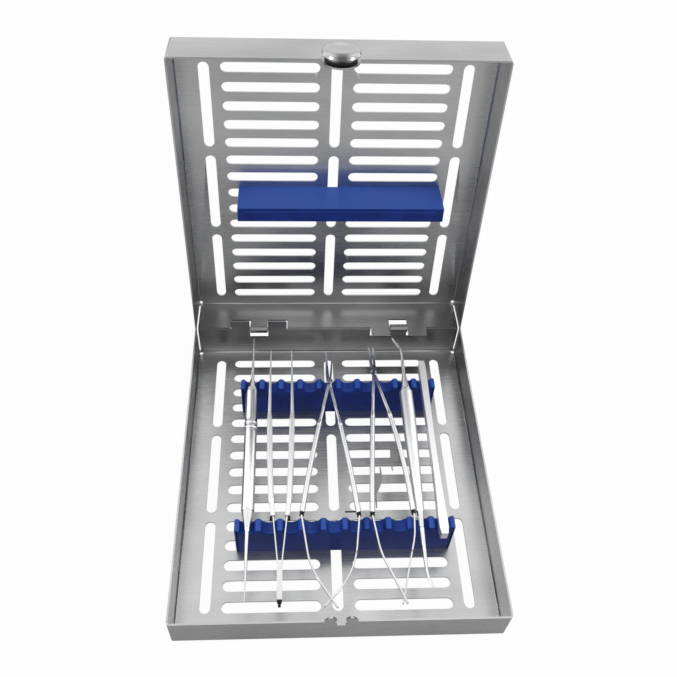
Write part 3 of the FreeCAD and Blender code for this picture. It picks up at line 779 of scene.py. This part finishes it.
@dataclass
class HoldDownPad:
    """The plain silicone bar in the lid, which gives way over the instruments when the lid shuts.

    Its outer edges that turn by more than `sharp` radians are rounded.
    """

    node: str = "lid_pad"
    edge: float = 0.9 * MM
    edge_segments: int = 4
    sharp: float = 1.0
    keep: float = 0.7
    panel: float = 51 * MM
    groove: Pair = (1.3 * MM, 2.5 * MM)
    groove_depth: float = 1.0 * MM
    groove_slope: float = 0.3
    columns: int = 40
    levels: int = 10

    def ring(self, x: float, low: Vector, high: Vector, cut: float) -> list[Vector]:
        """The bar's open outline at one place along its length, from the panel round to the panel.

        Args:
            x: the place.
            low: the bar's lowest corner with the lid shut.
            high: its highest corner.
            cut: depth of the groove there.

        Returns:
            The outline's points.
        """
        heights = [low.z + (high.z - low.z) * j / self.levels for j in range(self.levels + 1)]
        near, far = (low.y + place for place in self.groove)
        slope = cut * self.groove_slope
        foot = ((near, 0), (near + slope, cut), (far - slope, cut), (far, 0))
        return ([Vector((x, low.y, z)) for z in reversed(heights)]
                + [Vector((x, y, low.z + rise)) for y, rise in foot]
                + [Vector((x, high.y, z)) for z in heights])

    def build(self, material: Material) -> None:
        """Makes the pad in the shut lid's directions and opens it with the lid.

        Args:
            material: the silicone.
        """
        turn = lid_turn()
        back = turn.inverted()
        corners = [back @ vertex.co for vertex in frame["nodes"][self.node].data.vertices]
        low = Vector([min(corner[i] for corner in corners) for i in range(3)])
        high = Vector([max(corner[i] for corner in corners) for i in range(3)])
        high.z = self.panel
        form = bmesh.new()
        rings = []
        for i in range(self.columns + 1):
            cut = self.groove_depth if 1 < i < self.columns - 1 else 0.0
            rings.append(self.ring(low.x + (high.x - low.x) * i / self.columns, low, high, cut))
        skin(form, rings)

        def inner(point: Vector) -> bool:
            """Whether a point lies on the free face, away from its own edges."""
            return (low.y + TINY < point.y < high.y - TINY
                    and low.x + self.edge < point.x < high.x - self.edge)

        outer = [edge for edge in form.edges if edge.calc_face_angle(0.0) > self.sharp
                 and all(vertex.co.z < high.z - TINY for vertex in edge.verts)
                 and not all(inner(vertex.co) for vertex in edge.verts)]
        bmesh.ops.bevel(form, geom=outer, offset=self.edge, segments=self.edge_segments, profile=0.5,
                        affect="EDGES")
        form.transform(turn)
        piece = finished("lid_pad_soft", form, "lid", material, self.node)
        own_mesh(piece)


@dataclass
class Latch:
    """Chrome turn knob and black washer on the lid's front boss. Sizes in millimetres."""

    sides: int = 96
    rim: float = 10.5
    neck: float = 8.8
    shoulder: float = 10.0
    shoulder_height: float = 3.6
    dish: float = 6.2
    crown: float = 5.1
    crown_steps: int = 8
    crown_power: float = 0.9

    def turned(self, node: str, profile: Outline, body: str, material: Material,
               slot: Dressing) -> None:
        """Makes a round piece on the latch axis, which stands square on the lid's front.

        Args:
            node: the CAD node that it stands for.
            profile: (radius, height) pairs, outward from the washer's middle.
            body: the body that it rides on.
            material: its material.
            slot: the record's slot; not used.
        """
        centre, aside = middle("latch_washer"), Vector((1, 0, 0))
        outward = lid_turn().to_3x3() @ Vector((0, -1, 0))
        upward = outward.cross(aside)
        form = bmesh.new()
        skin(form, [[centre + (outward * height + aside * x + upward * y) * MM
                     for x, y in circle(radius, self.sides)]
                    for radius, height in profile])
        finished(node + "_round", form, body, material, node, smooth=50)

    def build(self, chrome: Material, dark: Material) -> None:
        """Makes the knob and the washer.

        Args:
            chrome: the knob's finish.
            dark: the washer's finish.
        """
        skirt = [(self.neck, 1.02), (self.neck, 1.25), (9.1, 1.5), (10.1, 2.05), (10.42, 2.35),
                 (self.rim, 2.7), (self.rim, 2.95), (10.35, 3.2), (self.shoulder, self.shoulder_height)]
        turns = [math.pi / 2 * i / self.crown_steps for i in range(1, self.crown_steps + 1)]
        dome = [(self.dish + (self.shoulder - self.dish) * math.cos(turn) ** self.crown_power,
                 self.shoulder_height + (self.crown - self.shoulder_height) * math.sin(turn))
                for turn in turns]
        hollow = [(radius, self.crown - depth) for radius, depth in
                  ((6.0, 0.02), (5.6, 0.18), (4.9, 0.4), (3.6, 0.58), (2.0, 0.67), (0.6, 0.69))]
        self.turned("latch_knob", skirt + dome + hollow, "latch", chrome, Dressing.CHROME)
        washer = [(3.4, -0.97), (8.55, -0.97), (8.8, -0.75), (8.8, 0.75), (8.55, 0.99), (3.4, 0.99)]
        self.turned("latch_washer", washer, "lid", dark, Dressing.DARK)


@dataclass
class RoundTool:
    """A double-ended instrument whose three pieces are turned round bars. Sizes in millimetres."""

    tool: str
    sides: int = 40

    def ends(self) -> tuple[Vector, float, float]:
        """The handle's centre, its rear end's y and its front end's y."""
        low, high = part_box(self.tool + "_handle")
        return (low + high) / 2 / MM, high.y / MM, low.y / MM

    def turned(self, part: str, profile: Sequence[Triple], material: Material) -> None:
        """Makes one piece.

        Args:
            part: the end of the CAD node's name.
            profile: (sideways offset, y, radius) from the rear to the front.
            material: its finish.
        """
        centre, _, _ = self.ends()
        form = bmesh.new()
        bar(form, [(centre.x + aside, y, centre.z, radius) for aside, y, radius in profile], self.sides)
        node = f"{self.tool}_{part}"
        finished(node + "_turned", form, self.tool, material, node, smooth=50)


@dataclass
class Probe(RoundTool):
    """Straight handle with two collar rings, long rear point, and a cone and needle in front."""

    tool: str = "probe"
    radius: float = 3.83
    chamfer: float = 0.35
    tuck: float = 0.02
    collar: float = 19.5
    collar_end: float = 3.2
    ring_offset: float = 1.7
    ring: tuple[Pair, ...] = ((1.0, 0.0), (0.7, 0.24), (0.4, 0.36), (-0.4, 0.36),
                                             (-0.7, 0.24), (-1.0, -0.1))

    def build(self, steel: Material) -> None:
        """Makes the three pieces.

        Args:
            steel: the finish.
        """
        _, back, front = self.ends()
        full = self.radius
        handle = [(back - self.tuck, full - self.chamfer), (back - self.chamfer, full)]
        for centre in (self.collar + self.ring_offset, self.collar - self.ring_offset):
            handle += [(centre + along, full + rise) for along, rise in self.ring]
        handle += [(self.collar - self.collar_end, full), (front + self.chamfer, full),
                   (front + self.tuck, full - self.chamfer)]
        rear = [(back + along, radius) for along, radius in
                ((43.0, 0.22), (26.0, 0.72), (9.0, 1.15), (4.0, 2.25), (0.4, full - 0.4), (0, full - 0.45))]
        fore = [(front - along, radius) for along, radius in
                ((0, full - 0.45), (0.4, full - 0.4), (6.0, 2.4), (11.2, 1.45), (11.5, 1.2), (28.0, 0.92),
                 (52.0, 0.22))]
        for part, profile in (("handle", handle), ("rear_point", rear), ("front_point", fore)):
            self.turned(part, [(0.0, y, radius) for y, radius in profile], steel)


@dataclass
class Elevator(RoundTool):
    """Thick tapered handle, bent paddle behind and bent blade in front."""

    tool: str = "elevator"
    radius: float = 4.28
    slim: float = 2.58
    cap: float = 0.8
    neck_share: float = 0.62

    def build(self, steel: Material, matte: Material) -> None:
        """Makes the three pieces.

        Args:
            steel: the tips' finish.
            matte: the handle's finish.
        """
        _, end, front = self.ends()
        back, full, slim = end - self.cap, self.radius, self.slim
        neck = slim * self.neck_share
        handle = [(0, back + 0.78, full - 0.6), (0, back + 0.3, full - 0.2), (0, back, full),
                  (0, back - 14.0, full), (0, back - 28.0, full), (0, back - 56.0, 3.42),
                  (0, front + 0.4, slim), (0, front + 0.02, slim - 0.25)]
        rear = [(aside, back + along, radius) for aside, along, radius in
                ((-5.2, 44.4, 0.45), (-4.4, 42.9, 0.78), (-0.9, 36.2, 0.88), (0.15, 32.6, 0.95),
                 (0.1, 24.0, 1.05), (0, 15.0, 1.15), (0, 7.0, 2.3), (0, 1.2, full - 0.75),
                 (0, 0.8, full - 0.8))]
        fore = [(aside, front - along, radius) for aside, along, radius in
                ((0, 0, slim - 0.35), (0, 8.0, neck), (0, 9.0, neck - 0.25), (0, 10.0, neck),
                 (0, 22.0, 1.22), (0.05, 34.6, 0.88), (0.7, 38.8, 0.8), (2.0, 42.1, 0.62),
                 (2.8, 43.9, 0.3))]
        self.turned("handle", handle, matte)
        self.turned("rear_tip", rear, steel)
        self.turned("front_tip", fore, steel)


@dataclass
class SpringTool:
    """Two lapped arms with knurled round grips that cross at a slotted screw. Sizes in millimetres."""

    name: str
    body: str
    reach: float
    jaw: float
    blunt: bool
    opening: float
    angles: dict[str, float]
    jaw_half: dict[str, float]
    bow: dict[str, float]
    lap_gap: float = 0.05
    lap: float = 1.5
    boss: float = 2.2
    shank: float = 20.0
    shank_half: float = 0.9
    sides: int = 30
    grip: float = 1.58
    grip_share: float = 0.34
    knurl_lead: float = 1.6
    knurl_share: float = 0.58
    neck: float = 1.13
    plug: float = 2.2
    play: float = 0.04
    screw_body: float = 0.88
    screw_foot: float = 1.25
    screw_foot_height: float = 0.24
    screw_head: float = 1.65
    screw_rise: float = 0.58
    slot_half: float = 0.2

    def pivot(self) -> Vector:
        """Where the arms cross, at the height where they lap."""
        x, y, _ = middle(self.name + "_screw") / MM
        return Vector((x, y, middle(self.name + "_arm_left").z / MM))

    def jaw_outline(self, level: int, half: float) -> Outline:
        """The jaw seen from above, before it is swung to its opening.

        Args:
            level: 1 for the upper arm and -1 for the lower one.
            half: half the jaw's width.

        Returns:
            (x, y) corners from the pivot.
        """
        if self.blunt:
            first = self.boss + 0.35
            inner = level * self.play
            return [(inner, first), (level * half, first), (level * half, self.jaw * 0.55),
                    (level * (half - 0.25), self.jaw * 0.8), (level * (half - 0.6), self.jaw),
                    (inner, self.jaw)]
        return [(-level * 0.3, 0), (level * half, 0), (level * half, self.jaw * 0.3),
                (level * 0.35, self.jaw), (-level * 0.1, self.jaw), (-level * 0.3, self.jaw * 0.5)]

    def blade(self, form: Form, level: int, half: float) -> None:
        """Adds the arm's jaw: lapped all along, or lapped at its root and full high beyond.

        Args:
            form: the mesh to add to.
            level: 1 for the upper arm and -1 for the lower one.
            half: half the jaw's width.
        """
        outline = self.jaw_outline(level, half)
        if not self.blunt:
            slab(form, outline, *sorted((level * self.lap_gap, level * self.lap * 0.7)))
            return
        inner, end = level * self.play, self.boss + 1.5
        root = [(-level, 0), (level * half, 0), (level * half, end), (inner, end), (inner, self.boss - 0.2),
                (-level, self.boss - 0.9)]
        slab(form, root, *sorted((level * self.lap_gap, level * self.lap)))
        slab(form, outline, -self.lap, self.lap)

    def arm(self, side: str, level: int, steel: Material) -> None:
        """Makes one arm.

        Args:
            side: left or right.
            level: 1 for the upper arm and -1 for the lower one.
            steel: the finish.
        """
        angle, bow, reach = self.angles[side], -level * self.bow[side], self.reach
        low, high = sorted((level * self.lap_gap, level * self.lap))
        swing = sum(self.angles.values()) / 2 - angle - level * self.opening
        form = bmesh.new()
        self.blade(form, level, self.jaw_half[side])
        form.transform(Matrix.Rotation(math.radians(swing), 4, "Z"))
        slab(form, circle(self.boss, 32), low, high)
        half, aside = self.shank_half, bow * 0.5
        shank = [(-half, 0), (half, 0), (aside + half, -self.shank), (aside - half, -self.shank)]
        slab(form, shank, low, high)
        end = self.plug - reach
        # each stands for a share of the bow, a place along the arm and a radius
        runs = ((0.45, 1 - self.shank, self.neck - 0.1), (0.62, -reach * 0.25, self.neck),
                (0.8, -reach * 0.3, self.neck), (0.88, -reach * self.grip_share, self.grip),
                (1.0, -reach * 0.52, self.grip), (0.72, -reach * 0.76, self.grip),
                (0.06, end + 1.2, self.grip), (0.0, end + 0.3, self.grip), (0.0, end, self.grip - 0.3))
        start = reach * self.grip_share - self.shank + self.knurl_lead
        bar(form, [(bow * share, y, 0.0, radius) for share, y, radius in runs], self.sides,
            Knurl(start, start + reach * self.knurl_share))
        turn = Matrix.Rotation(math.radians(angle), 4, "Z")
        form.transform(Matrix.Translation(self.pivot() * MM) @ turn)
        finished(f"{self.name}_arm_{side}_knurled", form, f"{self.body}_{side}", steel,
                 f"{self.name}_arm_{side}", smooth=45)

    def screw(self, steel: Material) -> None:
        """Makes the screw: body, foot below the arms, and two half heads with the slot between them.

        Args:
            steel: the finish.
        """
        pivot = self.pivot()
        top = self.lap + 0.06
        form = bmesh.new()
        foot = -top - self.screw_foot_height
        for radius, low, high in ((self.screw_body, -top, top), (self.screw_foot, foot, -top)):
            slab(form, circle(radius, 24, pivot), pivot.z + low, pivot.z + high)
        edge = math.asin(self.slot_half / self.screw_head)
        for facing in (0.0, math.pi):
            half = arc(self.screw_head, facing + edge, (math.pi - 2 * edge) / 14, 15, pivot)
            slab(form, half, pivot.z + top, pivot.z + top + self.screw_rise)
        finished(self.name + "_screw_slotted", form, self.body, steel, self.name + "_screw")

    def build(self, steel: Material) -> None:
        """Makes both arms and the screw.

        Args:
            steel: the finish.
        """
        self.arm("left", 1, steel)
        self.arm("right", -1, steel)
        self.screw(steel)


@dataclass
class Stage:
    """Pale floor, soft lamps, world and camera. Angles in degrees, the lens in millimetres."""

    focal: float = 42.02
    pitch: float = 48.44
    yaw: float = 4.233
    roll: float = 3.066
    stand: Triple = (-26.467 * MM, -247.185 * MM, 452.769 * MM)
    shift: Pair = (0.0131, -0.0634)
    clip: Pair = (0.01, 20.0)
    ambient: float = 0.5
    ambient_rise: Pair = (-0.1, 0.9)
    turn: Pair = (0.2, 0.5)
    fall: Pair = (0.55, 0.8)
    front_sky: float = 1.05
    high_sky: float = 1.4
    low_sky: float = 1.0
    floor_half: float = 1.6
    floor_top: float = -0.0002
    floor_white: float = 0.95
    floor_level: float = 0.8
    strip_near: Pair = (0.105, 0.16)
    strip_far: Pair = (0.3, 0.5)
    strip_level: float = 0.84
    beyond_level: float = 0.5
    lamp_place: Triple = (1.1, -0.3, 0.9)
    lamp_target: Triple = (0.0, 0.0, 0.05)
    lamp_size: float = 0.4
    lamp_power: float = 4.0

    def camera(self) -> None:
        """Places the camera."""
        pitch, yaw, roll = (math.radians(angle) for angle in (-self.pitch, self.yaw, self.roll))
        ahead = Vector((math.sin(yaw) * math.cos(pitch), math.cos(yaw) * math.cos(pitch), math.sin(pitch)))
        level = Vector((math.cos(yaw), -math.sin(yaw), 0))
        upright = level.cross(ahead)
        right = level * math.cos(roll) + upright * math.sin(roll)
        up = upright * math.cos(roll) - level * math.sin(roll)
        lens = bpy.data.cameras.new("camera")
        lens.lens = self.focal
        lens.shift_x, lens.shift_y = self.shift
        lens.clip_start, lens.clip_end = self.clip
        camera = bpy.data.objects.new("camera", lens)
        camera.matrix_world = (Matrix.Translation(self.stand)
                               @ Matrix((right, up, -ahead)).transposed().to_4x4())
        bpy.context.collection.objects.link(camera)
        bpy.context.scene.camera = camera

    def world(self) -> None:
        """Lights the scene evenly from above, shows white behind it, and gives metal a sky to mirror."""
        world = bpy.data.worlds.new("studio")
        world.use_nodes = True
        bpy.context.scene.world = world
        graph = Graph(world.node_tree)
        _, ahead, upward = graph.parts(graph.node("ShaderNodeTexCoord", out="Generated"))
        sky = ahead.step(*self.turn, self.front_sky, self.high_sky)
        sky = graph.mix(ahead.step(*self.fall), sky, self.low_sky)
        soft = upward.step(*self.ambient_rise, self.ambient * 0.4, self.ambient * 1.5)
        lit = graph.mix(graph.ray("Is Glossy Ray"), soft, sky)
        seen = graph.ray("Is Camera Ray").math("MAXIMUM", graph.ray("Is Transmission Ray"))
        values = {"Color": grey(1.0), "Strength": graph.mix(seen, lit, 1.0)}
        graph.close("ShaderNodeOutputWorld", graph.node("ShaderNodeBackground", values=values))

    def floor(self) -> None:
        """Makes the pale floor, of which metal mirrors a bright strip in front and a darker rest."""
        graph = Surface("pale_floor")
        forward = -1.0 * graph.parts(graph.place())[1]
        strip = forward.step(*self.strip_near) * forward.step(*self.strip_far, 1.0, 0.0)
        mirrored = graph.blend(strip, grey(self.beyond_level), grey(self.strip_level))
        tint = graph.blend(graph.ray("Is Glossy Ray"), grey(self.floor_level), mirrored)
        graph.fill(Base_Color=tint, Roughness=0.9)
        glow = graph.node("ShaderNodeEmission", values={"Color": grey(1.0), "Strength": 1.0})
        seen = graph.ray("Is Camera Ray") * self.floor_white
        mixed = graph.node("ShaderNodeMixShader", values={0: seen, 1: graph.shader, 2: glow})
        form = bmesh.new()
        half = self.floor_half
        block(form, Vector((-half, -half, -0.01)), Vector((half, half, self.floor_top)))
        placed("floor", form, graph.done(mixed))

    def lamp(self, name: str, side: int) -> None:
        """Adds a square soft lamp.

        Args:
            name: the lamp's name.
            side: -1 for the left and 1 for the right.
        """
        light = bpy.data.lights.new(name, "AREA")
        light.size = self.lamp_size
        light.energy = self.lamp_power
        lamp = bpy.data.objects.new(name, light)
        x, y, z = self.lamp_place
        place = Vector((side * x, y, z))
        aim = (Vector(self.lamp_target) - place).to_track_quat("-Z", "Y")
        lamp.matrix_world = Matrix.Translation(place) @ aim.to_matrix().to_4x4()
        bpy.context.collection.objects.link(lamp)

    def build(self) -> None:
        """Makes the whole stage."""
        self.camera()
        self.world()
        self.floor()
        self.lamp("left", -1)
        self.lamp("right", 1)
        bpy.context.scene.view_settings.view_transform = "Standard"
        LOG.info("stage built")


def dress_solids(finishes: dict[Dressing, Material], own: dict[str, Material]) -> None:
    """Gives the CAD solids that still show their finishes.

    Args:
        finishes: material of each slot.
        own: materials of nodes that differ from their slot's.
    """
    slots = {part["node"]: part["material_slot"] for part in frame["record"]["subparts"]}
    for node, solid in frame["nodes"].items():
        if not solid.hide_render:
            solid.data.materials.clear()
            solid.data.materials.append(own.get(node, finishes[Dressing(slots[node])]))
            LOG.info("%s keeps its own solid", node)


def main() -> None:
    """Builds and dresses everything in order."""
    logging.basicConfig(level=logging.INFO, format="%(message)s")
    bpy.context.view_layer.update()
    finishes = {slot: finish.build() for slot, finish in (
        (Dressing.TRAY, BrushedSheet()), (Dressing.TOOL, SatinTool()),
        (Dressing.SPRING, SatinTool("spring_strip", light=0.74, dark=0.6)),
        (Dressing.CHROME, Polished()), (Dressing.SILICONE, Silicone()), (Dressing.DARK, DarkPlug()))}
    matte = SatinTool("matte_tool", light=0.95, dark=0.86, roughness=0.40).build()
    # painted shade: the catch and lock plates get a darker copy of the tool steel
    plate = SatinTool("painted_shade_plate", light=0.30, dark=0.20, roughness=0.42).build()
    tool, silicone = finishes[Dressing.TOOL], finishes[Dressing.SILICONE]
    sides = ("left", "right")
    tray_edge, blade_edge, arm_edge, fine_edge = (width * MM for width in (0.16, 0.45, 0.35, 0.12))
    OwnSolids(dict.fromkeys(("base_shell", "lid_shell"), tray_edge), segments=2, limit=50).build()
    for node in ("rear_rest", "front_rest"):
        WaveRest(node).build(silicone)
    HoldDownPad().build(silicone)
    Latch().build(finishes[Dressing.CHROME], finishes[Dressing.DARK])
    Probe().build(tool)
    Elevator().build(tool, matte)
    SpringTool("scissor", "scissors", reach=94.5, jaw=24.9, blunt=False, opening=4.9,
               angles={"left": -11.7, "right": 8.5}, jaw_half={"left": 1.0, "right": 1.9},
               bow={"left": 1.0, "right": 1.0}).build(tool)
    SpringTool("holder", "needle_holder", reach=102.6, jaw=18.6, blunt=True, opening=2.5,
               angles={"left": -4.4, "right": 9.1}, jaw_half={"left": 1.5, "right": 1.5},
               bow={"left": 0.4, "right": 2.8}).build(tool)
    arms = [f"tweezer_arm_{side}" for side in sides]
    plates = ["holder_catch_plate", "holder_lock_plate"]
    springs = [f"{name}_{side}" for name in ("tweezer_leaf", "scissor_spring", "holder_spring")
               for side in sides]
    widths = {"blade_handle": blade_edge, **dict.fromkeys(arms, arm_edge),
              **dict.fromkeys(["tweezer_tail", "latch_shaft"] + springs + plates, fine_edge)}
    OwnSolids(widths, segments=3, limit=25).build()
    own = {**dict.fromkeys(["blade_handle"] + arms, matte), **dict.fromkeys(plates, plate)}
    dress_solids(finishes, own)
    Stage().build()


if __name__ == "__main__":
    main()
